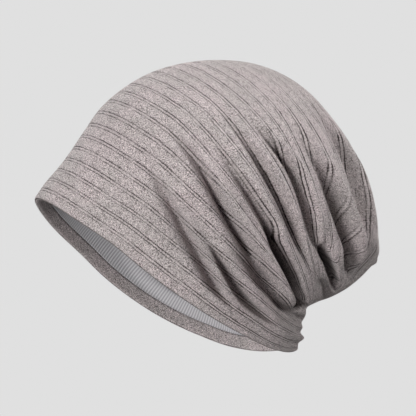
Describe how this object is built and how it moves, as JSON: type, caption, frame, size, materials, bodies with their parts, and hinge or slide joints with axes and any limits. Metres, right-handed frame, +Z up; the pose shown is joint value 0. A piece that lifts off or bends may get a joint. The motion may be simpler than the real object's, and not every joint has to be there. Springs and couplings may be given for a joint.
{
  "type": "slouchy beanie",
  "caption": "Thin ribbed jersey slouch beanie in its worn shape, gathered at the nape, with a turned hem and a light lining.",
  "frame": {"origin": "centre of the head opening, at the level of the rim's front and back points, where the hat sits on the head", "axes": "+Z up through the crown, -Y towards the front of the hat, +Y towards the slouched bag, +X the wearer's left"},
  "size_m": [0.1591, 0.2212, 0.1722],
  "materials": {
    "ribbed_jersey": "matte brushed ribbed jersey",
    "lining_jersey": "matte fine jersey"
  },
  "bodies": {
    "root": {"crown": "ribbed_jersey", "lining": "lining_jersey"}
  },
  "joints": []
}
